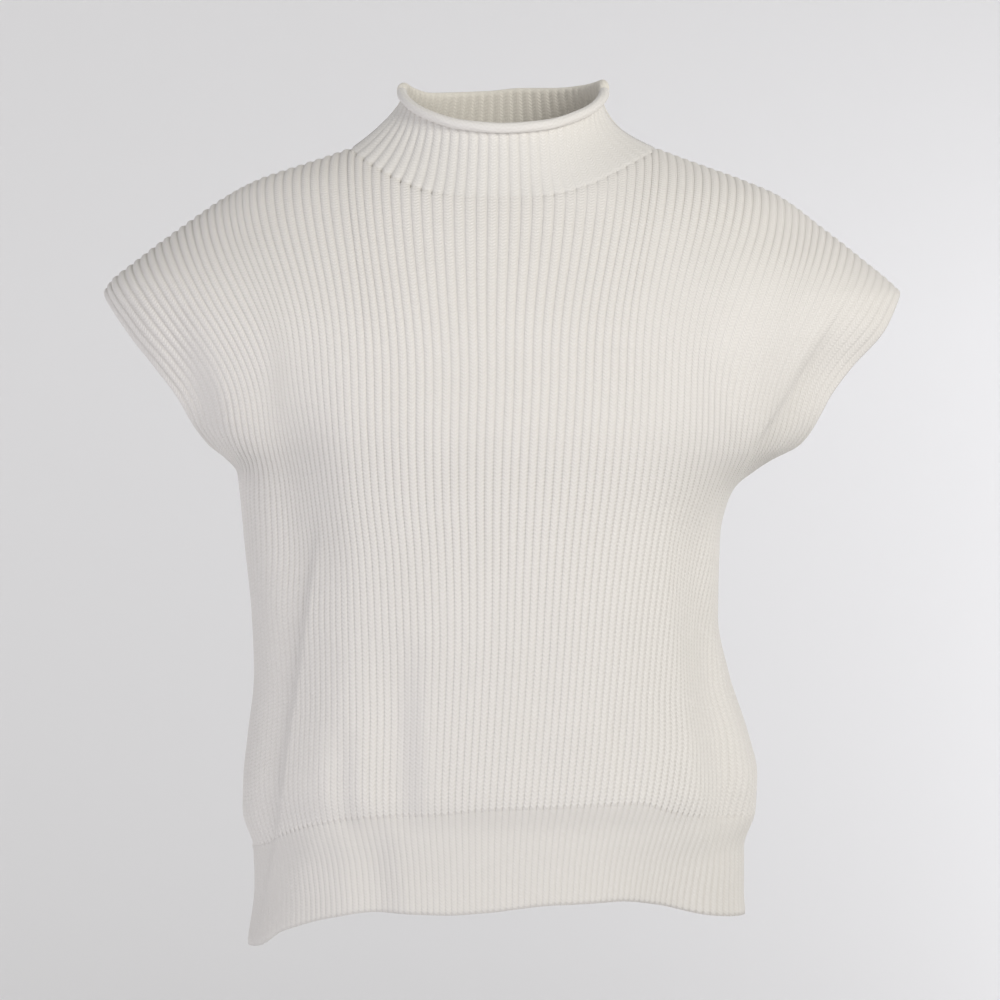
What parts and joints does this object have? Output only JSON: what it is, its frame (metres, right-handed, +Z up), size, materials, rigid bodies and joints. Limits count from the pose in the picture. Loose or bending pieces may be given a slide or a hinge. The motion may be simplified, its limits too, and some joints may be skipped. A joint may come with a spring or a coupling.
{
  "type": "sweater vest",
  "caption": "Sleeveless ribbed-knit sweater vest, hollow as worn, with a rolled mock neck, wide cap shoulders, deep open armholes and a ribbed hem band.",
  "frame": {"origin": "middle of the line between the two neck corners of the shoulder seams, where the wearer's shoulders hold the garment", "axes": "+Z up, -Y out of the front of the garment, +X to the right of the front as one looks at it"},
  "size_m": [0.5677, 0.2373, 0.624],
  "materials": {
    "front_panel": "matt rib knit",
    "back_panel": "matt rib knit",
    "collar_front": "matt rib knit",
    "collar_back": "matt rib knit",
    "front_hem_band": "matt rib knit",
    "back_hem_band": "matt rib knit"
  },
  "bodies": {
    "root": {"front_panel": "front_panel", "back_panel": "back_panel", "collar_front": "collar_front", "collar_back": "collar_back", "front_hem_band": "front_hem_band", "back_hem_band": "back_hem_band"}
  },
  "joints": []
}
